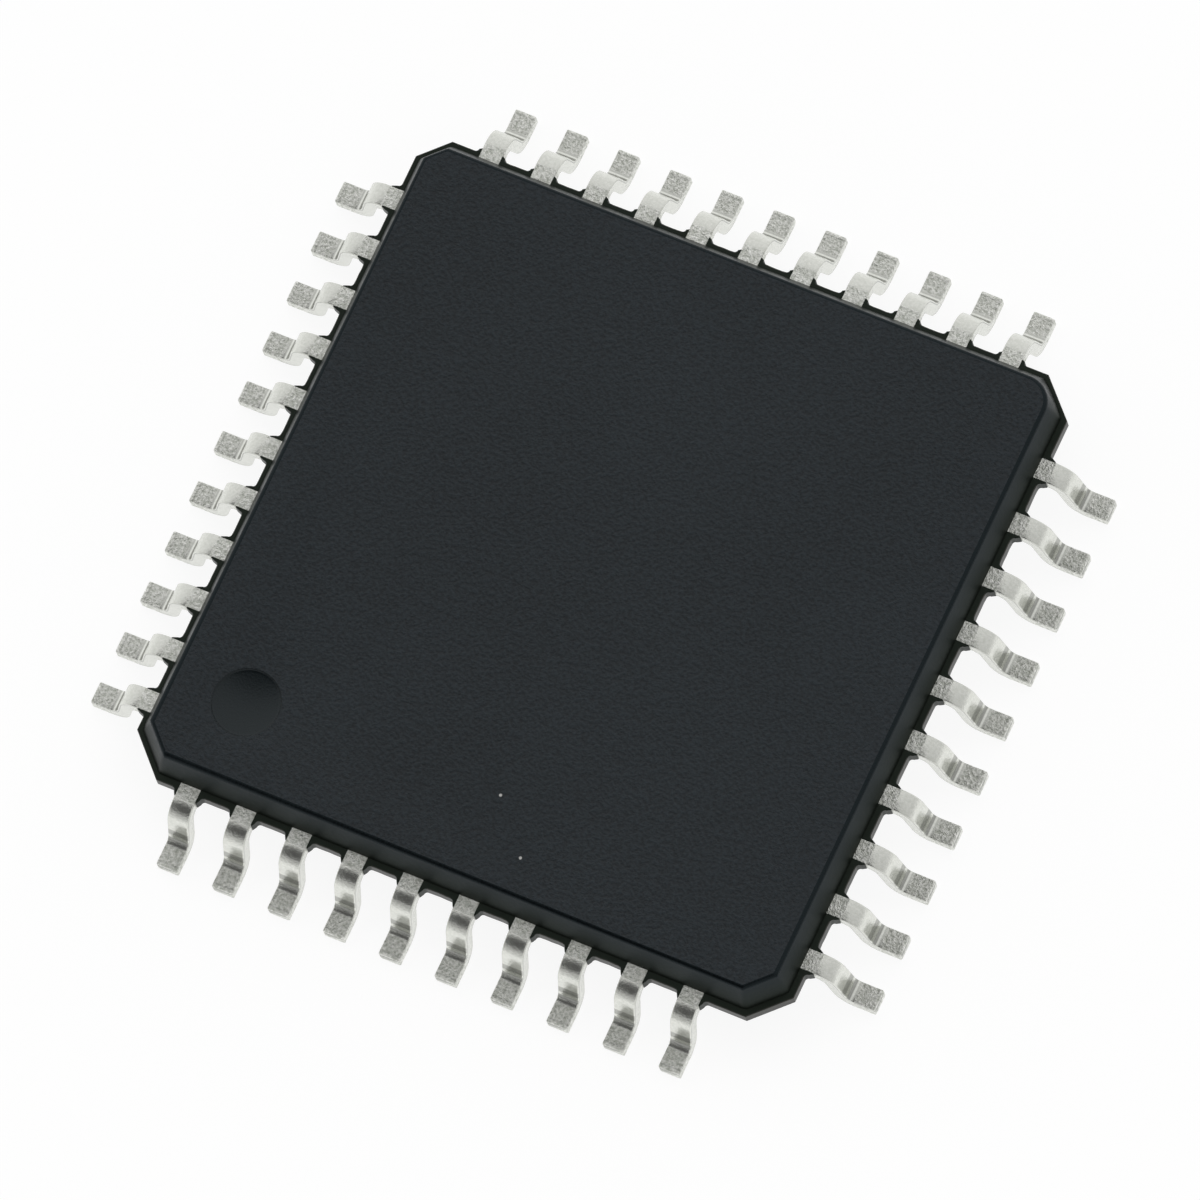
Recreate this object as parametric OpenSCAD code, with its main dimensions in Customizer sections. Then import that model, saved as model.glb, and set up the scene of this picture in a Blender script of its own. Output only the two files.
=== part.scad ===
// Quad flat pack chip: a moulded epoxy body with gull-wing leads on all four sides.
// Seated on its feet at z = 0. Front row at -Y, right row at +X, back row at +Y, left row at -X.
// The round dimple marks the front left corner, where pin one starts the front row.

/* [Moulded body] */
// Width of the moulding at the parting line
body_w = 10.0; // [9.0:0.1:14.0]
// Thickness of the moulding
body_t = 1.0; // [1.0:0.05:1.4]
// Draft of the moulding's walls, in degrees
draft = 22; // [8:1:24]
// Height of the moulding's underside above the seating plane
standoff = 0.25; // [0.05:0.01:0.3]
// Size of the broken edge round the top and bottom faces
edge_break = 0.04; // [0.01:0.01:0.06]

/* [Corners] */
// Corner cut at the parting line, front left, beside pin one
cut_front_left = 0.52; // [0.2:0.01:0.6]
// Corner cut at the parting line, front right
cut_front_right = 0.47; // [0.2:0.01:0.6]
// Corner cut at the parting line, back right
cut_back_right = 0.48; // [0.3:0.01:0.6]
// Corner cut at the parting line, back left
cut_back_left = 0.37; // [0.2:0.01:0.6]
// Draft of the back right corner cut, steeper than the walls so that its top runs out round
corner_draft = 12; // [4:1:16]
// Radius of the back right corner at the top face
corner_round = 0.4; // [0.3:0.01:0.6]

/* [Pin one dimple] */
// Diameter of the dimple at the top face
dimple_d = 0.98; // [0.4:0.02:1.4]
// Depth of the dimple
dimple_depth = 0.07; // [0.03:0.01:0.12]
// Distance of the dimple's centre from the left wall at the parting line
dimple_from_left = 1.33; // [1.0:0.01:2.5]
// Distance of the dimple's centre from the front wall at the parting line
dimple_from_front = 1.34; // [1.0:0.01:2.5]

/* [Mould flash] */
// How far the flash ledge stands out from the parting line
flash_out = 0.03; // [0.01:0.01:0.06]
// Width of the web of flash left on each flank of a lead
web_w = 0.03; // [0.01:0.005:0.06]
// How far the webs reach from the wall, at most to the end of the lead's shoulder
web_reach = 0.2; // [0.16:0.01:0.22]
// How far the webs of the back row reach from the wall
web_reach_back = 0.14; // [0.13:0.01:0.22]
// Radius of the fillet between a web and the ledge
web_fillet = 0.06; // [0.02:0.005:0.13]

/* [Lead rows] */
// Leads in each of the back and left rows
long_row_count = 11; // [5:1:11]
// Distance of a long row's first lead from the body's side, the way the pins run
long_row_start = 1.05; // [0.9:0.01:1.5]
// Distance of a long row's last lead from the body's side
long_row_end = 0.95; // [0.9:0.01:1.5]
// Leads in each of the front and right rows
short_row_count = 10; // [4:1:10]
// Distance of a short row's first lead from the body's side, the way the pins run
short_row_start = 1.028; // [0.9:0.002:1.5]
// Distance of a short row's last lead from the body's side
short_row_end = 1.268; // [0.9:0.002:1.5]

/* [Lead form] */
// Thickness of the leadframe
lead_t = 0.2; // [0.12:0.01:0.22]
// Width of a lead outside the body
lead_w = 0.32; // [0.25:0.01:0.34]
// How far the toes of the leads stand out from the body
lead_out = 1.0; // [0.96:0.01:1.3]
// Length of the flat part of the foot
foot_len = 0.31; // [0.25:0.01:0.4]
// Slope of the lead between its two bends, in degrees from level
lead_slope = 75; // [70:1:80]
// Inside radius of both bends
bend_r = 0.12; // [0.08:0.005:0.13]

/* [Inside the body] */
// How far the lead runs straight into the body before it fans in
straight_in = 0.3; // [0.2:0.01:0.4]
// Gap between the paddle's edge and the finger tips
finger_gap = 0.5; // [0.3:0.05:0.8]
// Width of a finger at its tip
finger_tip_w = 0.2; // [0.12:0.01:0.24]
// Width of the die paddle
paddle_w = 4.2; // [3.8:0.05:4.4]
// How far the paddle is set down below the leads
paddle_drop = 0.2; // [0.12:0.01:0.2]
// Width of the four tie bars that carry the paddle
tie_w = 0.2; // [0.12:0.01:0.3]
// How far the tie bars stop short of the corner cuts
tie_cover = 0.15; // [0.1:0.01:0.4]
// Run over which a tie bar steps down to the paddle
tie_step = 0.3; // [0.2:0.01:0.4]
// Width of the silicon die
die_w = 3.2; // [2.8:0.05:3.4]
// Thickness of the silicon die
die_t = 0.25; // [0.15:0.01:0.26]
// Thickness of the die attach adhesive
attach_t = 0.02; // [0.01:0.005:0.03]
// How far the adhesive squeezes out round the die
attach_lip = 0.06; // [0.02:0.01:0.1]

/* [Bond wires] */
// Diameter of a bond wire
wire_d = 0.025; // [0.02:0.001:0.03]
// Diameter of the ball on the die and of the stitch on the finger
ball_d = 0.07; // [0.05:0.005:0.08]
// Height of the ball and of the stitch
ball_h = 0.025; // [0.02:0.001:0.03]
// Angle that a wire's loop turns through, in degrees
loop_angle = 60; // [30:5:60]
// Distance of the ball from the edge of the die
ball_inset = 0.12; // [0.08:0.01:0.3]
// Distance of the stitch from the finger's tip
stitch_inset = 0.15; // [0.08:0.01:0.3]
// Distance of a long row's end balls from the sides of the die
ball_margin = 0.35; // [0.3:0.01:0.8]

/* [Hidden] */

$fn = 48;
half = body_w / 2;
// heights of the moulding
z_under = standoff;
z_part = standoff + body_t / 2;
z_top = standoff + body_t;
// underside of the leadframe inside the body
z_frame = z_part - lead_t / 2;
// where the wall stands at the leads' top face
wall_at_leads = half - lead_t / 2 * tan(draft);
// span over the toes of opposite leads
span = body_w + 2 * lead_out;
// the length of a cutting tool that has to pass the part
past = 2 * span;

// heights inside, from the paddle up
z_paddle = z_frame - paddle_drop;
z_attach = z_paddle + lead_t;
z_die = z_attach + attach_t;
z_die_top = z_die + die_t;

// bends of the gull wing, measured out from the middle of the body
bend_mid = bend_r + lead_t / 2;
bend_steps = 6;
foot_start = span / 2 - foot_len;
upper_z = z_frame - bend_r;
lower_z = lead_t + bend_r;
slope_len = (upper_z - lower_z + 2 * bend_mid * cos(lead_slope)) / sin(lead_slope);
shoulder_end = foot_start - 2 * bend_mid * sin(lead_slope) - slope_len * cos(lead_slope);
fan_start = half - straight_in;
// where the finger tips end, just past the paddle
finger_reach = paddle_w / 2 + finger_gap;

// The row of leads on each side, counted the way the pins run:
// [leads, distance of the first lead, distance of the last lead, reach of the webs]
ROWS = [
    // front
    [short_row_count, short_row_start, short_row_end, web_reach],
    // right
    [short_row_count, short_row_start, short_row_end, web_reach],
    // back
    [long_row_count, long_row_start, long_row_end, web_reach_back],
    // left
    [long_row_count, long_row_start, long_row_end, web_reach]
];
SIDES = [for (side = [0:len(ROWS) - 1]) side];
function row_count(side) = ROWS[side][0];
function row_pitch(side) = (body_w - ROWS[side][1] - ROWS[side][2]) / (row_count(side) - 1);
function reach(side) = ROWS[side][3];
// how far the long rows draw in to the finger tips, and on to the balls on the die
long_row_w = body_w - long_row_start - long_row_end;
tip_share = (paddle_w - finger_tip_w) / long_row_w;
ball_share = (die_w - 2 * ball_margin) / long_row_w;
// place of lead i of a side along that side, and the same for its finger tip and its ball
function place(side, i) = ROWS[side][1] - half + i * row_pitch(side);
function tip_place(side, i) = place(side, i) * tip_share;
function ball_place(side, i) = place(side, i) * ball_share;
// side and place in its row of the lead with pin number n
function seat(n, side = 0) =
    side == len(ROWS) ? undef
    : n <= row_count(side) ? [side, n - 1]
    : seat(n - row_count(side), side + 1);

// ---- outline helpers ----

// Right half of a drafted section through the moulding, from the underside up.
// a is the distance of the parting line and up_draft the draft of the upper wall.
function drafted_edge(a, up_draft) = let (
    d = z_top - z_part,
    e = edge_break
) [
    [a - d * tan(draft) - e, z_under],
    [a - (d - e) * tan(draft), z_under + e],
    [a, z_part],
    [a - (d - e) * tan(up_draft), z_top - e],
    [a - d * tan(up_draft) - e, z_top]
];

function mirrored(points) = [for (i = [len(points) - 1:-1:0]) [-points[i][0], points[i][1]]];

// A bar of drafted section that runs past the part along Y
module drafted_bar(left, right, right_draft = draft) {
    rotate([90, 0, 0])
        linear_extrude(height = past, center = true)
            polygon(concat(drafted_edge(right, right_draft), mirrored(drafted_edge(left, draft))));
}

// Distance of a corner cut of leg c from the middle, along the diagonal
function cut_at(c, grow = 0) = (2 * half - c) / sqrt(2) + grow;

// Plain outline of the body with its corner cuts, grown by some distance
module cut_outline(grow) {
    intersection() {
        square(2 * (half + grow), center = true);
        rotate(45)
            translate([-cut_at(cut_front_left, grow), -past / 2])
                square([cut_at(cut_front_left, grow) + cut_at(cut_back_right, grow), past]);
        rotate(-45)
            translate([-cut_at(cut_back_left, grow), -past / 2])
                square([cut_at(cut_back_left, grow) + cut_at(cut_front_right, grow), past]);
    }
}

// What the round of the back right corner takes away above the parting line
module corner_waste() {
    rise = z_top - z_part;
    low_r = corner_round + rise * tan(draft);
    mid_r = corner_round + edge_break * tan(draft);
    translate([half - low_r, half - low_r, z_part]) {
        difference() {
            cube(past);
            cylinder(h = rise - edge_break, r1 = low_r, r2 = mid_r, $fn = 96);
            translate([0, 0, rise - edge_break])
                cylinder(h = edge_break, r1 = mid_r, r2 = corner_round - edge_break, $fn = 96);
        }
    }
}

// ---- leads ----

// Points along a circle of radius r about c, from one angle to another
function arc(c, r, from, to) = [
    for (i = [0:bend_steps])
        let (angle = from + (to - from) * i / bend_steps)
            c + r * [cos(angle), sin(angle)]
];

// Side view of a lead from where it fans inside the body to its toe:
// along the top face, round both bends to the toe, and back along the underside
module gull_wing() {
    upper = [shoulder_end, upper_z];
    lower = [foot_start, lower_z];
    outer = bend_r + lead_t;
    polygon(concat(
        [[fan_start, z_frame + lead_t]],
        arc(upper, outer, 90, 90 - lead_slope),
        arc(lower, bend_r, 270 - lead_slope, 270),
        [[span / 2, lead_t], [span / 2, 0]],
        arc(lower, outer, 270, 270 - lead_slope),
        arc(upper, bend_r, 90 - lead_slope, 90),
        [[fan_start, z_frame]]
    ));
}

// One lead: the gull wing outside and the finger that fans in to the die inside
module lead(side, i) {
    s = place(side, i);
    tip = tip_place(side, i);
    w = lead_w / 2;
    t = finger_tip_w / 2;
    lap = straight_in / 2;
    rotate([0, 0, 90 * side]) {
        translate([s, 0, 0])
            rotate([90, 0, -90])
                linear_extrude(height = lead_w, center = true)
                    gull_wing();
        translate([0, 0, z_frame])
            linear_extrude(height = lead_t)
                polygon([
                    [s - w, -fan_start - lap],
                    [s + w, -fan_start - lap],
                    [s + w, -fan_start],
                    [tip + t, -finger_reach],
                    [tip - t, -finger_reach],
                    [s - w, -fan_start]
                ]);
    }
}

// The lead with pin number n, counted from the dimple along the front row and on round
module pin(n) {
    at = seat(n);
    if (at != undef)
        color([0.80, 0.81, 0.77]) lead(at[0], at[1]);
}

// All leads at once, as the cavity that the moulding closes round them
module all_leads() {
    for (side = SIDES)
        for (i = [0:row_count(side) - 1])
            lead(side, i);
}

// ---- flash ----

// Web of flash on both flanks of one lead, in plan, with a fillet each side at the ledge
module web(side, i) {
    out = min(wall_at_leads + reach(side), shoulder_end);
    w = lead_w / 2 + web_w;
    edge = half + flash_out;
    // the fillet is no longer than the web stands out
    f = min(web_fillet, out - edge);
    s = place(side, i);
    rotate(90 * side)
        translate([s, 0]) {
            translate([-w, -out])
                square([2 * w, out - edge + f]);
            difference() {
                translate([-w - f, -edge - f])
                    square([2 * (w + f), 2 * f]);
                for (dir = [-1, 1])
                    translate([dir * (w + f), -edge - f])
                        circle(r = f, $fn = 48);
            }
        }
}

// Ledge of flash round the parting line, as thick as the leadframe, with the webs
module flash_ledge() {
    translate([0, 0, z_frame])
        linear_extrude(height = lead_t) {
            cut_outline(flash_out);
            for (side = SIDES)
                for (i = [0:row_count(side) - 1])
                    web(side, i);
        }
}

// ---- inside pieces ----

module paddle_shape() {
    // the four corner cuts that a tie bar of each diagonal runs to
    cuts = [cut_front_right, cut_back_right, cut_back_left, cut_front_left];
    translate([-paddle_w / 2, -paddle_w / 2, z_paddle])
        cube([paddle_w, paddle_w, lead_t]);
    for (k = [0:3])
        rotate([0, 0, 90 * k - 45])
            tie_bar(cut_at(cuts[k]) - tie_cover);
}

// Tie bar along +X, out to a given end, stepping down to the paddle
module tie_bar(end) {
    start = paddle_w / 2 * sqrt(2);
    root = start - tie_w;
    rotate([90, 0, 0])
        linear_extrude(height = tie_w, center = true)
            polygon([
                [root, z_paddle],
                [start, z_paddle],
                [start + tie_step, z_frame],
                [end, z_frame],
                [end, z_frame + lead_t],
                [start + tie_step, z_frame + lead_t],
                [start, z_attach],
                [root, z_attach]
            ]);
}

module attach_shape() {
    w = die_w + 2 * attach_lip;
    translate([-w / 2, -w / 2, z_attach])
        cube([w, w, attach_t]);
}

module die_shape() {
    translate([-die_w / 2, -die_w / 2, z_die])
        cube([die_w, die_w, die_t]);
}

// One bond wire: ball on the die, round loop, stitch on the finger
module bond_wire(side, i) {
    ball = [ball_place(side, i), -(die_w / 2 - ball_inset), z_die_top];
    stitch_y = finger_reach + stitch_inset;
    // the stitch sits on the finger's middle line
    along = (stitch_y - finger_reach) / (fan_start - finger_reach);
    stitch_x = tip_place(side, i) + (place(side, i) - tip_place(side, i)) * along;
    stitch = [stitch_x, -stitch_y, z_frame + lead_t];
    lift = [0, 0, ball_h / 2];
    run = stitch - ball;
    level = norm([run[0], run[1]]);
    r = norm(run) / (2 * sin(loop_angle / 2));
    rotate([0, 0, 90 * side]) {
        translate(ball)
            cylinder(h = ball_h, d = ball_d, $fn = 8);
        translate(stitch)
            cylinder(h = ball_h, d = ball_d, $fn = 8);
        translate((ball + stitch) / 2 + lift)
            rotate([0, 0, atan2(run[1], run[0])])
                rotate([0, -atan2(run[2], level), 0])
                    translate([0, 0, -r * cos(loop_angle / 2)])
                        rotate([90, 0, 0])
                            rotate([0, 0, 90 - loop_angle / 2])
                                rotate_extrude(angle = loop_angle, $fn = 96)
                                    translate([r, 0])
                                        circle(d = wire_d, $fn = 6);
    }
}

module all_wires() {
    for (side = SIDES)
        for (i = [0:row_count(side) - 1])
            bond_wire(side, i);
}

// ---- sub-parts ----

// The moulded epoxy body, closed round everything that it holds
module package_body() {
    cap_r = (pow(dimple_d / 2, 2) + pow(dimple_depth, 2)) / (2 * dimple_depth);
    color([0.18, 0.20, 0.21])
        difference() {
            union() {
                difference() {
                    intersection() {
                        drafted_bar(half, half);
                        rotate([0, 0, 90])
                            drafted_bar(half, half);
                        rotate([0, 0, 45])
                            drafted_bar(cut_at(cut_front_left), cut_at(cut_back_right), corner_draft);
                        rotate([0, 0, -45])
                            drafted_bar(cut_at(cut_back_left), cut_at(cut_front_right));
                    }
                    corner_waste();
                }
                flash_ledge();
            }
            translate([dimple_from_left - half, dimple_from_front - half, z_top - dimple_depth + cap_r])
                sphere(r = cap_r, $fn = 128);
            all_leads();
            paddle_shape();
            attach_shape();
            die_shape();
            all_wires();
        }
}

// The die paddle with its four tie bars, cut from the same sheet as the leads
module die_paddle() {
    color([0.72, 0.45, 0.30]) paddle_shape();
}

// The film of adhesive under the die
module die_attach() {
    color([0.75, 0.75, 0.72]) attach_shape();
}

// The silicon die
module die() {
    color([0.30, 0.32, 0.38]) die_shape();
}

// The bond wires, one to each lead
module bond_wires() {
    color([0.90, 0.72, 0.30]) all_wires();
}

package_body();
die_paddle();
die_attach();
die();
bond_wires();
pin(1);  // lead_01
pin(2);  // lead_02
pin(3);  // lead_03
pin(4);  // lead_04
pin(5);  // lead_05
pin(6);  // lead_06
pin(7);  // lead_07
pin(8);  // lead_08
pin(9);  // lead_09
pin(10);  // lead_10
pin(11);  // lead_11
pin(12);  // lead_12
pin(13);  // lead_13
pin(14);  // lead_14
pin(15);  // lead_15
pin(16);  // lead_16
pin(17);  // lead_17
pin(18);  // lead_18
pin(19);  // lead_19
pin(20);  // lead_20
pin(21);  // lead_21
pin(22);  // lead_22
pin(23);  // lead_23
pin(24);  // lead_24
pin(25);  // lead_25
pin(26);  // lead_26
pin(27);  // lead_27
pin(28);  // lead_28
pin(29);  // lead_29
pin(30);  // lead_30
pin(31);  // lead_31
pin(32);  // lead_32
pin(33);  // lead_33
pin(34);  // lead_34
pin(35);  // lead_35
pin(36);  // lead_36
pin(37);  // lead_37
pin(38);  // lead_38
pin(39);  // lead_39
pin(40);  // lead_40
pin(41);  // lead_41
pin(42);  // lead_42
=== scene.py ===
"""Looks of the quad flat pack chip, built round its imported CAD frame.

The body and the leads are remade here as finer meshes of the same form. The pieces sealed
inside keep their CAD meshes. Shapes are drawn in millimetres and shrunk to metres at the end.
"""

import math
import random

import bmesh
import bpy
from mathutils import Matrix, Vector


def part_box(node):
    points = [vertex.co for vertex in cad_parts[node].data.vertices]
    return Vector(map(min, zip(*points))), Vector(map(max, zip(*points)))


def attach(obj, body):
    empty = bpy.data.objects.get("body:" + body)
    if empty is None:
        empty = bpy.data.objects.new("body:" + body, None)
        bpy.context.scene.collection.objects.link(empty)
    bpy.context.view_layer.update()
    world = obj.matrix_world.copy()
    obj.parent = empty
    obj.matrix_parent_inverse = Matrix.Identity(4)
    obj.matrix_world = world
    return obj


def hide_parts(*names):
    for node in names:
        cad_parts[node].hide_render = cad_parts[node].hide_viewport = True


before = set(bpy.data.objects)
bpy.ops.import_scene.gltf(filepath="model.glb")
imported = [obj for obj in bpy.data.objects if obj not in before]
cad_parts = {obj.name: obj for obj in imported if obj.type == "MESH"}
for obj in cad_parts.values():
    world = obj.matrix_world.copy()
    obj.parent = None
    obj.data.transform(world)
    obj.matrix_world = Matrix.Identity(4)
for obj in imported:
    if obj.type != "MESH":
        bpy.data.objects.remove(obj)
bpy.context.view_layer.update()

MM = 0.001

# ---- sizes in millimetres, as the CAD part has them ----

BODY_W = 10.0
DRAFT = math.radians(22)
CORNER_DRAFT = math.radians(12)
EDGE_BREAK = 0.04
# legs of the corner cuts at the parting line: front left, front right, back right, back left
CUTS = (0.52, 0.47, 0.48, 0.37)
CORNER_ROUND = 0.4
DIMPLE_D = 0.98
DIMPLE_DEPTH = 0.07
DIMPLE_FROM_LEFT = 1.33
DIMPLE_FROM_FRONT = 1.34
# the ledge stands out a little further on the near sides
FLASH_OUT = (0.055, 0.055, 0.03, 0.03)
WEB_W = 0.03
WEB_FILLET = 0.06
LEAD_T = 0.2
LEAD_W = 0.32
TIP_W = 0.2
FOOT = 0.31
SLOPE = math.radians(75)
BEND_R = 0.12
STRAIGHT_IN = 0.3
SHORT_ROW = 10
LONG_ROW = 11

# ---- finish of the edges, in millimetres ----

# rounding of a lead's stamped edges
LEAD_EDGE = 0.018
# rounding of the moulding's top and bottom edges: down the wall and in along the face
EDGE_DOWN = 0.045
EDGE_IN = 0.045
# chamfer round the ledge of flash
FLASH_EDGE = 0.012
# the flash sits this much lower than the leads that it hugs
FLASH_SINK = 0.004

low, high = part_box("package_body")
Z_UNDER = low.z / MM
Z_TOP = high.z / MM
Z_PART = (Z_UNDER + Z_TOP) / 2
HALF = BODY_W / 2
WALL_AT_LEADS = HALF - LEAD_T / 2 * math.tan(DRAFT)
# reach of the webs beyond the wall on each side, read from the body's own box
WEB_OUT = (-low.y / MM, high.x / MM, high.y / MM, -low.x / MM)

FRONT, RIGHT, BACK, LEFT = range(4)
ROW_COUNT = (SHORT_ROW, SHORT_ROW, LONG_ROW, LONG_ROW)


# ---- the camera, at the view that shows the front and right rows nearest ----

CAMERA_AZIMUTH = math.radians(-45.4)
CAMERA_ELEVATION = math.radians(68.89)
CAMERA_ROLL = math.radians(-21.74)
CAMERA_DISTANCE = 260.7
CAMERA_AIM = Vector((-0.067, -0.124, 0.085))
LENS = 565.7


def make_camera():
    """A long lens over the front right corner, turned about its own axis."""
    flat = math.cos(CAMERA_ELEVATION)
    gaze = Vector((
        math.sin(CAMERA_AZIMUTH) * flat,
        math.cos(CAMERA_AZIMUTH) * flat,
        -math.sin(CAMERA_ELEVATION),
    ))
    level = Vector((math.cos(CAMERA_AZIMUTH), -math.sin(CAMERA_AZIMUTH), 0))
    upright = level.cross(gaze)
    right = level * math.cos(CAMERA_ROLL) + upright * math.sin(CAMERA_ROLL)
    up = right.cross(gaze)
    data = bpy.data.cameras.new("camera")
    data.lens = LENS
    data.sensor_width = 36
    data.clip_start = 0.001
    data.clip_end = 10
    camera = bpy.data.objects.new("camera", data)
    bpy.context.scene.collection.objects.link(camera)
    place = (CAMERA_AIM - gaze * CAMERA_DISTANCE) * MM
    turn = Matrix((right, up, -gaze)).transposed().to_4x4()
    camera.matrix_world = Matrix.Translation(place) @ turn
    bpy.context.scene.camera = camera


# ---- node helpers ----


class Shader:
    """Builds one material's nodes."""

    def __init__(self, name):
        self.material = bpy.data.materials.new(name)
        self.material.use_nodes = True
        self.tree = self.material.node_tree
        self.tree.nodes.clear()
        self.output = self.add("ShaderNodeOutputMaterial")

    def add(self, kind, **settings):
        node = self.tree.nodes.new(kind)
        for key, value in settings.items():
            setattr(node, key, value)
        return node

    def link(self, source, target):
        self.tree.links.new(source, target)

    def put(self, target, value):
        """A socket's value, or what feeds it."""
        if isinstance(value, bpy.types.NodeSocket):
            self.link(value, target)
        else:
            target.default_value = value

    def millimetres(self):
        """The place on the piece, in millimetres."""
        place = self.add("ShaderNodeTexCoord").outputs["Object"]
        scale = self.add("ShaderNodeVectorMath", operation="SCALE")
        self.put(scale.inputs[0], place)
        scale.inputs["Scale"].default_value = 1 / MM
        return scale.outputs[0]

    def noise(self, where, scale, detail=2.0, rough=0.5):
        node = self.add("ShaderNodeTexNoise")
        self.put(node.inputs["Vector"], where)
        node.inputs["Scale"].default_value = scale
        node.inputs["Detail"].default_value = detail
        node.inputs["Roughness"].default_value = rough
        return node.outputs["Fac"]

    def cells(self, where, scale, feature="F1", output="Distance"):
        node = self.add("ShaderNodeTexVoronoi", feature=feature)
        self.put(node.inputs["Vector"], where)
        node.inputs["Scale"].default_value = scale
        return node.outputs[output]

    def math(self, operation, a, b=0.0, clamp=False):
        node = self.add("ShaderNodeMath", operation=operation, use_clamp=clamp)
        self.put(node.inputs[0], a)
        self.put(node.inputs[1], b)
        return node.outputs[0]

    def ramp(self, value, low_in, high_in, low_out, high_out):
        node = self.add("ShaderNodeMapRange")
        self.put(node.inputs["Value"], value)
        for key, number in (
            ("From Min", low_in), ("From Max", high_in), ("To Min", low_out), ("To Max", high_out)
        ):
            self.put(node.inputs[key], number)
        return node.outputs[0]

    def mix(self, share, a, b):
        node = self.add("ShaderNodeMix", data_type="RGBA")
        self.put(node.inputs[0], share)
        self.put(node.inputs[6], a)
        self.put(node.inputs[7], b)
        return node.outputs[2]

    def attribute(self, name):
        return self.add("ShaderNodeAttribute", attribute_name=name).outputs["Fac"]

    def bump(self, height, depth, strength=1.0, normal=None):
        """A bump of a depth in millimetres."""
        node = self.add("ShaderNodeBump")
        self.put(node.inputs["Height"], height)
        node.inputs["Distance"].default_value = depth * MM
        self.put(node.inputs["Strength"], strength)
        if normal is not None:
            self.put(node.inputs["Normal"], normal)
        return node.outputs[0]

    def surface(self, **inputs):
        shader = self.add("ShaderNodeBsdfPrincipled")
        for key, value in inputs.items():
            self.put(shader.inputs[key.replace("_", " ")], value)
        self.link(shader.outputs[0], self.output.inputs["Surface"])
        return self.material


def rgb(red, green, blue):
    return (red, green, blue, 1.0)


# ---- materials ----


# white specks of dust on the top face, at places in millimetres
SPECKS = ((0.18, -3.54), (0.82, -4.26))
SPECK_R = 0.022


def mould_compound():
    """Matte black epoxy, with the fine grain of a spark-eroded mould."""
    s = Shader("mould_compound")
    at = s.millimetres()
    grain = s.noise(at, 19, 3.0, 0.6)
    cloud = s.noise(at, 0.5, 2.0)
    tone = s.math("ADD", s.ramp(grain, 0.35, 0.65, -0.4, 0.4), s.ramp(cloud, 0.3, 0.7, 0.4, 0.6))
    colour = s.mix(tone, rgb(0.004, 0.008, 0.011), rgb(0.019, 0.028, 0.035))
    for x, y in SPECKS:
        gap = s.add("ShaderNodeVectorMath", operation="DISTANCE")
        s.put(gap.inputs[0], at)
        gap.inputs[1].default_value = (x, y, Z_TOP)
        speck = s.math("LESS_THAN", gap.outputs["Value"], SPECK_R)
        colour = s.mix(speck, colour, rgb(0.6, 0.6, 0.58))
    return s.surface(
        Base_Color=colour,
        Roughness=s.ramp(grain, 0.3, 0.7, 0.48, 0.6),
        IOR=1.42,
        Normal=s.bump(grain, 0.035),
    )


def wall_compound():
    """The same epoxy on the drafted walls, wiped smoother where they leave the mould."""
    s = Shader("wall_compound")
    at = s.millimetres()
    grain = s.noise(at, 16, 3.0, 0.6)
    streak = s.noise(at, 1.6, 2.0)
    tone = s.math("ADD", s.math("MULTIPLY", grain, 0.5), s.math("MULTIPLY", streak, 0.5))
    place = s.add("ShaderNodeSeparateXYZ")
    s.put(place.inputs[0], at)
    # painted shade: from the top of the wall down to the ledge the colour darkens and the
    # reflection turns greener
    height = s.ramp(place.outputs["Z"], Z_PART + 0.1, Z_TOP - 0.06, 0.0, 1.0)
    unshaded = s.mix(tone, rgb(0.002, 0.0035, 0.004), rgb(0.009, 0.0125, 0.0135))
    colour = s.mix(height, rgb(0.0015, 0.002, 0.001), unshaded)
    return s.surface(
        Base_Color=colour,
        Roughness=s.ramp(tone, 0.3, 0.7, 0.34, 0.46),
        IOR=1.38,
        Specular_Tint=s.mix(height, rgb(0.76, 0.95, 0.78), rgb(0.74, 0.92, 1.0)),
        Normal=s.bump(grain, 0.003),
    )


def rim_compound():
    """The same epoxy round the rounded top edge, which the mould left smooth; its darker colour
    is painted shade for the dark line along the edge.
    """
    s = Shader("rim_compound")
    at = s.millimetres()
    grain = s.noise(at, 24, 2.0)
    # painted shade: the rounded edge's colour is darker than the top face's
    colour = s.mix(grain, rgb(0.001, 0.0015, 0.002), rgb(0.003, 0.004, 0.005))
    return s.surface(
        Base_Color=colour,
        Roughness=s.ramp(grain, 0.3, 0.7, 0.24, 0.32),
        IOR=1.34,
        Specular_Tint=rgb(0.7, 0.92, 1.0),
        Normal=s.bump(grain, 0.002),
    )


def polished_compound():
    """The same epoxy where the mould's pin left it smooth."""
    s = Shader("polished_compound")
    at = s.millimetres()
    grain = s.noise(at, 30, 2.0)
    colour = s.mix(grain, rgb(0.002, 0.004, 0.005), rgb(0.005, 0.009, 0.011))
    return s.surface(
        Base_Color=colour,
        Roughness=s.ramp(grain, 0.3, 0.7, 0.24, 0.3),
        IOR=1.42,
        Specular_Tint=rgb(0.88, 0.97, 1.0),
        Normal=s.bump(grain, 0.002),
    )


def flash_resin():
    """Thin resin that bled out at the parting line: browner and smoother."""
    s = Shader("flash_resin")
    at = s.millimetres()
    grain = s.noise(at, 18, 3.0)
    colour = s.mix(grain, rgb(0.01, 0.011, 0.006), rgb(0.028, 0.029, 0.019))
    return s.surface(
        Base_Color=colour,
        Roughness=0.38,
        IOR=1.45,
        Normal=s.bump(grain, 0.003),
    )
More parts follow.
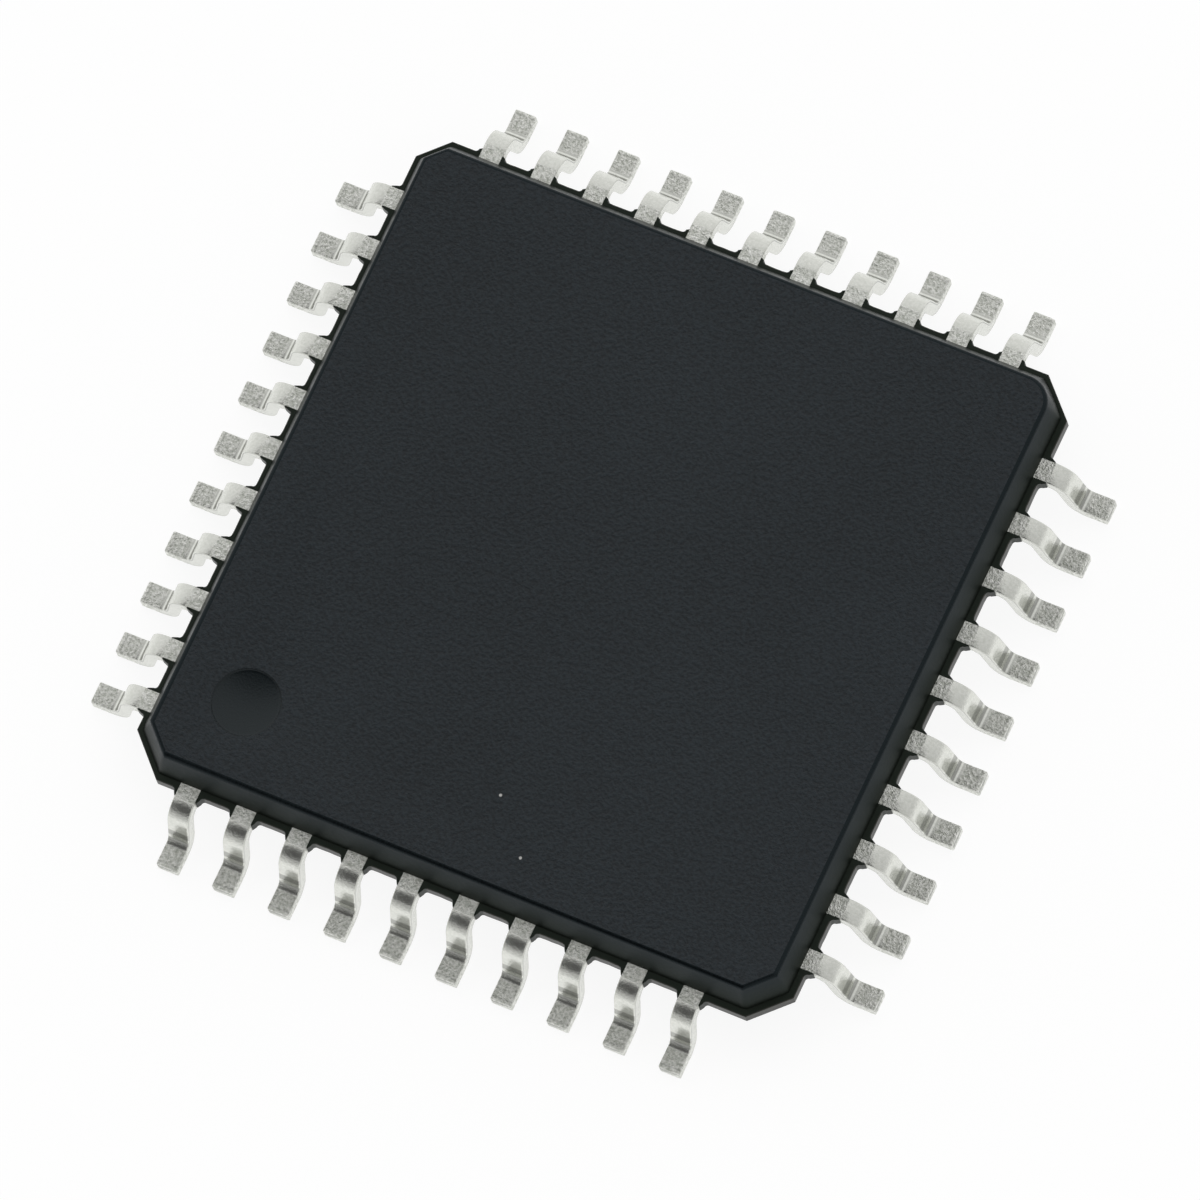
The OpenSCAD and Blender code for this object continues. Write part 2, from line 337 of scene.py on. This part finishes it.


# How light the painted shade and reflection make a lead's rolled face, as (stage, share): bands
# over the shoulder, the upper bend, the slope, the crease of the lower bend, the foot and the toe
PAINTED_BANDS = (
    (0.0, 0.95), (0.3, 1.0), (0.97, 1.0), (1.04, 0.86), (1.35, 0.9), (1.8, 1.0), (2.5, 1.0),
    (2.56, 0.62), (2.86, 0.58), (2.92, 1.0), (3.1, 1.0), (3.2, 0.5), (3.5, 0.5), (3.58, 1.0), (3.7, 1.0), (3.78, 0.66), (3.9, 0.66),
    (4.04, 0.92), (4.2, 0.93), (4.8, 0.93), (4.86, 0.72), (4.92, 1.0), (5.0, 1.0),
)
# the stretch between these stages is wiped smooth
WIPED = (1.0, 4.0)


def lead_finish():
    """Matte tin plating: crystals on the flats, wiped smooth round the bends."""
    s = Shader("lead_finish")
    at = s.millimetres()
    stage = s.attribute("stage")
    shade = s.add("ShaderNodeValToRGB")
    s.put(shade.inputs[0], s.math("MULTIPLY", stage, 1 / 5))
    stops = shade.color_ramp.elements
    for count, (place, share) in enumerate(PAINTED_BANDS):
        stop = stops[count] if count < len(stops) else stops.new(place / 5)
        stop.position = place / 5
        stop.color = rgb(share, share, share)
    start = s.ramp(stage, WIPED[0] - 0.03, WIPED[0] + 0.03, 0.0, 1.0)
    stop = s.ramp(stage, WIPED[1] - 0.06, WIPED[1] + 0.06, 1.0, 0.0)
    wiped = s.math("MULTIPLY", start, stop)
    fleck = s.noise(at, 24, 3.0, 0.7)
    strength = s.ramp(wiped, 0.0, 1.0, 1.0, 0.2)
    speckle = s.math("MULTIPLY", s.ramp(fleck, 0.35, 0.65, -0.5, 0.5), strength)
    colour = s.mix(s.math("ADD", speckle, 0.5), rgb(0.54, 0.56, 0.50), rgb(1.0, 1.0, 0.96))
    # painted shade and reflection: the bands darken the rolled top face only
    band_shade = s.mix(s.attribute("face"), rgb(1, 1, 1), shade.outputs["Color"])
    # a narrow darker line along the top of each flank
    flank_line = s.ramp(s.attribute("flank_line"), 0.0, 1.0, 1.0, 0.5)
    band_shaded = s.add("ShaderNodeVectorMath", operation="MULTIPLY")
    s.put(band_shaded.inputs[0], colour)
    s.put(band_shaded.inputs[1], band_shade)
    with_flank_line = s.add("ShaderNodeVectorMath", operation="SCALE")
    s.put(with_flank_line.inputs[0], band_shaded.outputs[0])
    s.put(with_flank_line.inputs["Scale"], flank_line)
    return s.surface(
        Base_Color=with_flank_line.outputs[0],
        Metallic=1.0,
        Roughness=s.ramp(wiped, 0.0, 1.0, 0.42, 0.26),
        Normal=s.bump(fleck, 0.03, strength),
    )


def inner_metal(name, dull, bright, roughness):
    """Bare metal inside the moulding, with a fine rolled or drawn grain."""
    s = Shader(name)
    at = s.millimetres()
    grain = s.noise(at, 12, 3.0)
    return s.surface(
        Base_Color=s.mix(grain, dull, bright),
        Metallic=1.0,
        Roughness=roughness,
        Normal=s.bump(grain, 0.002),
    )


def inner_film(name, dark, light, roughness):
    """Silver-filled adhesive or silicon."""
    s = Shader(name)
    at = s.millimetres()
    grain = s.noise(at, 30, 3.0)
    return s.surface(
        Base_Color=s.mix(grain, dark, light),
        Roughness=roughness,
        Normal=s.bump(grain, 0.002),
    )


# ---- meshes ----


def finish_mesh(bm, name, materials, smooth_angle=35):
    """Shrinks a drawing in millimetres to metres and puts it in the scene as a piece."""
    bmesh.ops.scale(bm, vec=(MM, MM, MM), verts=bm.verts)
    bm.normal_update()
    mesh = bpy.data.meshes.new(name)
    bm.to_mesh(mesh)
    bm.free()
    for material in materials:
        mesh.materials.append(material)
    mesh.shade_smooth()
    mesh.set_sharp_from_angle(angle=math.radians(smooth_angle))
    piece = bpy.data.objects.new(name, mesh)
    bpy.context.scene.collection.objects.link(piece)
    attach(piece, "root")
    return piece


def join_loops(bm, first, second, material=0):
    """Quads between two closed loops of as many points, of one material or one for each."""
    count = len(first)
    for i in range(count):
        j = (i + 1) % count
        face = bm.faces.new((first[i], first[j], second[j], second[i]))
        face.material_index = material[i] if isinstance(material, list) else material


def fill_between(bm, outer, inner, up, material):
    """A flat face between two closed loops, facing up (1) or down (-1)."""
    rims = []
    for loop in (outer, inner):
        for i, vert in enumerate(loop):
            other = loop[(i + 1) % len(loop)]
            rims.append(bm.edges.get((vert, other)) or bm.edges.new((vert, other)))
    made = bmesh.ops.triangle_fill(bm, edges=rims, use_beauty=True, normal=(0, 0, up))
    for face in made["geom"]:
        if isinstance(face, bmesh.types.BMFace):
            face.material_index = material


# material slots of the moulding
MATTE, WALL, RIM, POLISHED, RESIN = range(5)

# the corners in turn, with the direction of each along X and Y
CORNERS = ((-1, -1), (1, -1), (1, 1), (-1, 1))
# steps round each corner of the body
CORNER_STEPS = 24


def corner_points(corner, inset, rise):
    """Points round one corner at an inset of the walls, the way the pins run.

    rise is the height above the parting line, where the corner cut has its own draft.
    """
    x_dir, y_dir = CORNERS[corner]
    round_r = CORNER_ROUND + (Z_TOP - Z_PART) * math.tan(DRAFT)
    middle = HALF - round_r
    wall = round_r - inset
    is_round = corner == 2 and rise > 0
    draft_in = rise * math.tan(CORNER_DRAFT) if is_round else inset
    cut = (2 * HALF - CUTS[corner]) / math.sqrt(2) - draft_in - middle * math.sqrt(2)
    points = []
    for step in range(CORNER_STEPS + 1):
        angle = math.pi / 2 * step / CORNER_STEPS
        reach = cut / math.cos(angle - math.pi / 4)
        if is_round:
            reach = min(reach, wall)
        reach = min(reach, wall / max(math.cos(angle), 1e-6), wall / max(math.sin(angle), 1e-6))
        points.append((middle + reach * math.cos(angle), middle + reach * math.sin(angle)))
    # counted counter-clockwise seen from above in every quadrant
    if x_dir * y_dir < 0:
        points.reverse()
    return [(x_dir * x, y_dir * y) for x, y in points]


def body_outline(inset, rise):
    """Outline of the moulding, from the front left corner round to the back left one."""
    points = []
    for corner in range(4):
        points += corner_points(corner, inset, rise)
    return points


def ring(bm, outline, z):
    return [bm.verts.new((x, y, z)) for x, y in outline]


def rounded_edge(inset, z, side, steps=8):
    """(inset, height) along the rounded edge between a drafted wall and a flat face."""
    start = Vector((inset - EDGE_DOWN * math.tan(DRAFT), z - side * EDGE_DOWN))
    knee = Vector((inset, z))
    end = Vector((inset + EDGE_IN, z))
    return [
        tuple(start * (1 - t) ** 2 + knee * 2 * t * (1 - t) + end * t * t)
        for t in (i / steps for i in range(steps + 1))
    ]


def make_body(materials):
    """The moulding: a drafted core, the dimple's dish and the ledge of flash."""
    bm = bmesh.new()
    draft_in = (Z_TOP - Z_PART) * math.tan(DRAFT)
    under = rounded_edge(draft_in, Z_UNDER, -1)
    top = rounded_edge(draft_in, Z_TOP, 1)
    rings = [ring(bm, body_outline(i, 0), z) for i, z in reversed(under)]
    rings.append(ring(bm, body_outline(0, 0), Z_PART))
    rings += [ring(bm, body_outline(i, z - Z_PART), z) for i, z in top]
    for step, (first, second) in enumerate(zip(rings, rings[1:])):
        # the under edge and both walls come first, then the rounded edge of the top
        join_loops(bm, first, second, WALL if step <= len(under) else RIM)
    bm.faces.new(list(reversed(rings[0]))).material_index = MATTE
    add_top_with_dimple(bm, rings[-1])
    add_flash(bm)
    body = finish_mesh(bm, "moulded_body", materials)
    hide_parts("package_body")


def add_top_with_dimple(bm, edge):
    """The flat top between its edge and the dimple, and the dimple's dish."""
    sides = 128
    rings_in = 14
    radius = DIMPLE_D / 2
    centre = Vector((DIMPLE_FROM_LEFT - HALF, DIMPLE_FROM_FRONT - HALF))
    # a small crisp step goes down from a rounded lip, and the dish starts at its foot
    step_in = 0.014
    step_down = 0.028
    profile = [
        (radius + 0.010, 0.0), (radius + 0.005, -0.001), (radius + 0.001, -0.004),
        (radius - step_in * 0.7, -step_down * 0.9), (radius - step_in, -step_down),
    ]
    floor_r = radius - step_in
    for i in range(1, rings_in):
        share = 1 - i / rings_in
        bowl = (DIMPLE_DEPTH - step_down) * (1 - share**2)
        profile.append((floor_r * share, -step_down - bowl))
    loops = []
    for r, drop in profile:
        loops.append([
            bm.verts.new((
                centre.x + r * math.cos(math.tau * i / sides),
                centre.y + r * math.sin(math.tau * i / sides),
                Z_TOP + drop,
            ))
            for i in range(sides)
        ])
    fill_between(bm, edge, loops[0], 1, MATTE)
    for first, second in zip(loops, loops[1:]):
        join_loops(bm, first, second, POLISHED)
    bottom = bm.verts.new((centre.x, centre.y, Z_TOP - DIMPLE_DEPTH))
    inner = loops[-1]
    for i in range(sides):
        face = bm.faces.new((inner[i], inner[(i + 1) % sides], bottom))
        face.material_index = POLISHED


def lead_places(side):
    """Places of a row's leads along its side, from the boxes of their CAD nodes."""
    first = sum(ROW_COUNT[:side]) + 1
    return [lead_axis(number)[0] for number in range(first, first + ROW_COUNT[side])]


def side_of(number):
    for side, count in enumerate(ROW_COUNT):
        if number <= count:
            return side
        number -= count
    raise ValueError(number)


def lead_axis(number):
    """(place of a lead along its side, place of its finger tip), the way the pins run."""
    near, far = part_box(f"lead_{number:02d}")
    side = side_of(number)
    if side == FRONT:
        a, b = near.x, far.x
    elif side == RIGHT:
        a, b = near.y, far.y
    elif side == BACK:
        a, b = -far.x, -near.x
    else:
        a, b = -far.y, -near.y
    a, b = a / MM, b / MM
    if abs(a) > abs(b):
        return a + LEAD_W / 2, b - TIP_W / 2
    return b - LEAD_W / 2, a + TIP_W / 2


def web_outline(place, out, edge):
    """Plan of the ledge past one lead: along the ledge, out round both webs and back.

    A web thins from its fillet at the ledge to nothing much at its end.
    """
    fillet = WEB_FILLET * 0.8
    root_w = LEAD_W / 2 + WEB_W * 1.3
    tip_w = LEAD_W / 2 + WEB_W * 0.35
    half_plan = []
    for t in [0.0] + parts(8):
        angle = math.pi / 2 * t
        half_plan.append((
            root_w + fillet * (1 - math.sin(angle)),
            edge + fillet * (1 - math.cos(angle)),
        ))
    half_plan += [(tip_w, out - 0.006), (tip_w - 0.006, out)]
    left = [(place - x, y) for x, y in half_plan]
    right = [(place + x, y) for x, y in reversed(half_plan)]
    return left + right


def turned(point, side):
    """A point of a row (along its side, out from the middle) in plan."""
    along, out = point
    angle = math.pi / 2 * side
    x, y = along, -out
    return (x * math.cos(angle) - y * math.sin(angle), x * math.sin(angle) + y * math.cos(angle))


def flash_outline():
    """Plan of the ledge of flash with its webs, and which of its stretches are web."""
    rough = random.Random(7)
    points = []
    is_web = []
    for side in range(4):
        out = FLASH_OUT[side]
        edge = HALF + out
        start, end = (
            HALF - CUTS[corner] + math.sqrt(2) * min(out, FLASH_OUT[other]) - out
            for corner, other in ((side, side - 1), ((side + 1) % 4, (side + 1) % 4))
        )
        places = lead_places(side)
        row = [(-start, edge)]
        is_web.append(False)
        for place, following in zip(places, places[1:] + [None]):
            web = web_outline(place, WEB_OUT[side], edge)
            row += web
            is_web += [True] * (len(web) - 1) + [False]
            if following is not None:
                # the ragged edge of the flash between two leads
                for share in (0.38, 0.5, 0.62):
                    along = place + (following - place) * share
                    row.append((along, edge - rough.uniform(0, 0.006)))
                    is_web.append(False)
        row.append((end, edge))
        is_web.append(False)
        points += [turned(point, side) for point in row]
    return points, is_web


def drawn_in(outline, distance):
    """An outline moved inwards along its own normals."""
    count = len(outline)
    moved = []
    for i, (x, y) in enumerate(outline):
        before = Vector(outline[i - 1])
        after = Vector(outline[(i + 1) % count])
        along = (after - before).normalized()
        moved.append((x - along.y * distance, y + along.x * distance))
    return moved


def add_flash(bm):
    """The ledge of flash: a ring as thick as the leads, which ends inside the moulding."""
    outline, is_web = flash_outline()
    face = drawn_in(outline, FLASH_EDGE)
    inside = body_outline(0.2, 0)
    z_low = Z_PART - LEAD_T / 2 + FLASH_SINK
    z_high = Z_PART + LEAD_T / 2 - FLASH_SINK
    loops = [
        ring(bm, face, z_low), ring(bm, outline, z_low + FLASH_EDGE),
        ring(bm, outline, z_high - FLASH_EDGE), ring(bm, face, z_high),
    ]
    # the webs take the wall's epoxy, which its painted shade makes near black at their height
    for first, second in zip(loops, loops[1:]):
        join_loops(bm, first, second, [WALL if web else RESIN for web in is_web])
    inner_low = ring(bm, inside, z_low)
    inner_high = ring(bm, inside, z_high)
    # the ledge's top and bottom take the wall's epoxy too, painted near black there as shade
    fill_between(bm, loops[0], inner_low, -1, WALL)
    fill_between(bm, loops[-1], inner_high, 1, WALL)
    join_loops(bm, inner_high, inner_low, WALL)


# ---- leads ----


def lead_path(toe, shoulder_z):
    """Stations along a lead, from the root of its finger to its toe.

    Each is (distance out, height of the middle, tilt of the top face, stage). The stage runs
    0 to 1 along the shoulder, to 2 round the upper bend, to 3 down the slope, to 4 round the
    lower bend and to 5 along the foot.
    """
    bend = BEND_R + LEAD_T / 2
    foot_start = toe - FOOT
    middle = shoulder_z - LEAD_T / 2
    upper_z = middle - bend
    lower_z = LEAD_T / 2 + bend
    run = (upper_z - lower_z + 2 * bend * math.cos(SLOPE)) / math.sin(SLOPE)
    shoulder_end = foot_start - 2 * bend * math.sin(SLOPE) - run * math.cos(SLOPE)
    stations = [(HALF - STRAIGHT_IN, middle, 0.0, 0.0)]
    for t in parts(6):
        u = WALL_AT_LEADS + (shoulder_end - WALL_AT_LEADS) * t
        stations.append((u, middle, 0.0, t))
    for t in parts(18):
        tilt = SLOPE * t
        u = shoulder_end + bend * math.sin(tilt)
        stations.append((u, upper_z + bend * math.cos(tilt), tilt, 1 + t))
    top_u, top_z = stations[-1][:2]
    for t in parts(10):
        u = top_u + run * t * math.cos(SLOPE)
        stations.append((u, top_z - run * t * math.sin(SLOPE), SLOPE, 2 + t))
    for t in parts(18):
        tilt = SLOPE * (1 - t)
        u = foot_start - bend * math.sin(tilt)
        stations.append((u, lower_z - bend * math.cos(tilt), tilt, 3 + t))
    for t in parts(14):
        stations.append((foot_start + (FOOT - LEAD_EDGE) * t, LEAD_T / 2, 0.0, 4 + t))
    return stations


def parts(count):
    """The ends of equal parts of a stretch from 0 to 1."""
    return [(i + 1) / count for i in range(count)]


def section(width, thick, edge):
    """Rounded rectangle across a lead, as (across, up, share of flank line, share of face).

    The flank line is a narrow darker line along the top of each flank. The face is the rolled
    one on top, which carries the painted bands of shade and reflection.
    """
    steps = 3
    points = []
    for x_dir, z_dir, start in ((1, -1, -90), (1, 1, 0), (-1, 1, 90), (-1, -1, 180)):
        corner = []
        for i in range(steps + 1):
            angle = math.radians(start + 90 * i / steps)
            corner.append((
                x_dir * (width / 2 - edge) + edge * math.cos(angle),
                z_dir * (thick / 2 - edge) + edge * math.sin(angle),
                0.0, max(0.0, math.sin(angle)),
            ))
        if z_dir > 0:
            # the narrow darker line along the top of the flank
            line = [
                (x_dir * width / 2, thick / 2 - edge - 0.022, 0.0, 0.0),
                (x_dir * width / 2, thick / 2 - edge - 0.008, 1.0, 0.0),
            ]
            corner = line + corner if x_dir > 0 else corner + line[::-1]
        points += corner
    return points


def make_lead(number, metal):
    """One lead: the finger inside the moulding, the gull wing and the toe outside."""
    name = f"lead_{number:02d}"
    near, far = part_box(name)
    side = side_of(number)
    place, tip = lead_axis(number)
    reach = [-near.y, far.x, far.y, -near.x][side] / MM
    tip_end = [-far.y, near.x, near.y, -far.x][side] / MM
    bm = bmesh.new()
    stage_of = bm.verts.layers.float.new("stage")
    flank_line_of = bm.verts.layers.float.new("flank_line")
    face_of = bm.verts.layers.float.new("face")
    loops = []

    def add_loop(u, z, tilt, stage, width=LEAD_W, shift=0.0, shrink=0.0):
        loop = []
        corners = section(width - 2 * shrink, LEAD_T - 2 * shrink, LEAD_EDGE)
        for across, up, flank_line, face in corners:
            x, y = turned((place + shift + across, u + up * math.sin(tilt)), side)
            vert = bm.verts.new((x, y, z + up * math.cos(tilt)))
            vert[stage_of] = stage
            vert[flank_line_of] = flank_line
            vert[face_of] = face
            loop.append(vert)
        loops.append(loop)

    stations = lead_path(reach, far.z / MM)
    add_loop(tip_end, stations[0][1], 0.0, 0.0, TIP_W, tip - place)
    for station in stations:
        add_loop(*station)
    foot_z = stations[-1][1]
    add_loop(reach - LEAD_EDGE * 0.3, foot_z, 0.0, 5.0, shrink=LEAD_EDGE * 0.3)
    add_loop(reach, foot_z, 0.0, 5.0, shrink=LEAD_EDGE)
    for first, second in zip(loops, loops[1:]):
        join_loops(bm, first, second)
    bm.faces.new(loops[0])
    bm.faces.new(loops[-1])
    bmesh.ops.recalc_face_normals(bm, faces=bm.faces)
    lead = finish_mesh(bm, f"plated_{name}", [metal], 40)
    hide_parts(name)


# ---- stage ----


def make_floor():
    """A pale floor that the camera and the metal see as white, with the shadows kept."""
    s = Shader("pale_floor")
    ray = s.add("ShaderNodeLightPath")
    seen = s.math("MAXIMUM", ray.outputs["Is Camera Ray"], ray.outputs["Is Glossy Ray"])
    glow = s.add("ShaderNodeEmission")
    s.put(glow.inputs["Strength"], s.math("MULTIPLY", seen, 0.9))
    matte = s.add("ShaderNodeBsdfDiffuse")
    s.put(matte.inputs["Color"], s.mix(seen, rgb(0.85, 0.85, 0.85), rgb(0.15, 0.15, 0.15)))
    both = s.add("ShaderNodeAddShader")
    s.link(glow.outputs[0], both.inputs[0])
    s.link(matte.outputs[0], both.inputs[1])
    s.link(both.outputs[0], s.output.inputs["Surface"])
    bm = bmesh.new()
    bmesh.ops.create_grid(bm, x_segments=1, y_segments=1, size=3)
    mesh = bpy.data.meshes.new("floor")
    bm.to_mesh(mesh)
    bm.free()
    mesh.materials.append(s.material)
    floor = bpy.data.objects.new("floor", mesh)
    bpy.context.scene.collection.objects.link(floor)


# a plain studio: soft light all round, most of it from the back left
LIGHT_SIDE = Vector((-0.55, 0.83, 0))
LIGHT_LOW = 0.75
LIGHT_HIGH = 1.15
# the dim stretch of ceiling over the front of the part, and how dim it is
DIM_PLACE = Vector((-0.2, -0.45, 0.87)).normalized()
DIM_SHARE = 0.12


def make_world():
    """The studio's soft light, stronger towards one side and dim over the front."""
    world = bpy.data.worlds.new("studio")
    world.use_nodes = True
    tree = world.node_tree
    tree.nodes.clear()
    out = tree.nodes.new("ShaderNodeOutputWorld")
    back = tree.nodes.new("ShaderNodeBackground")
    tree.links.new(back.outputs[0], out.inputs[0])
    coord = tree.nodes.new("ShaderNodeTexCoord")

    def level(direction, low_in, high_in, low_out, high_out):
        facing = tree.nodes.new("ShaderNodeVectorMath")
        facing.operation = "DOT_PRODUCT"
        tree.links.new(coord.outputs["Generated"], facing.inputs[0])
        facing.inputs[1].default_value = direction
        node = tree.nodes.new("ShaderNodeMapRange")
        node.interpolation_type = "SMOOTHSTEP"
        node.inputs["From Min"].default_value = low_in
        node.inputs["From Max"].default_value = high_in
        node.inputs["To Min"].default_value = low_out
        node.inputs["To Max"].default_value = high_out
        tree.links.new(facing.outputs["Value"], node.inputs["Value"])
        return node.outputs[0]

    strength = tree.nodes.new("ShaderNodeMath")
    strength.operation = "MULTIPLY"
    side = level(LIGHT_SIDE, -0.8, 0.8, LIGHT_LOW, LIGHT_HIGH)
    ceiling = level(DIM_PLACE, 0.76, 0.94, 1.0, DIM_SHARE)
    tree.links.new(side, strength.inputs[0])
    tree.links.new(ceiling, strength.inputs[1])
    tree.links.new(strength.outputs[0], back.inputs["Strength"])
    bpy.context.scene.world = world


make_camera()
make_floor()
make_world()

tin = lead_finish()
make_body([
    mould_compound(), wall_compound(), rim_compound(), polished_compound(), flash_resin(),
])
for number in range(1, sum(ROW_COUNT) + 1):
    make_lead(number, tin)

INNER = {
    "die_paddle": inner_metal("bare_copper", rgb(0.60, 0.36, 0.24), rgb(0.75, 0.48, 0.33), 0.38),
    "bond_wires": inner_metal("drawn_gold", rgb(0.80, 0.60, 0.22), rgb(0.95, 0.74, 0.34), 0.25),
    "die_attach": inner_film("silver_epoxy", rgb(0.55, 0.55, 0.53), rgb(0.70, 0.70, 0.68), 0.5),
    "die": inner_film("bare_silicon", rgb(0.06, 0.065, 0.08), rgb(0.09, 0.095, 0.12), 0.15),
}
for node, material in INNER.items():
    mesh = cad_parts[node].data
    mesh.materials.clear()
    mesh.materials.append(material)

bpy.context.scene.view_settings.view_transform = "Standard"
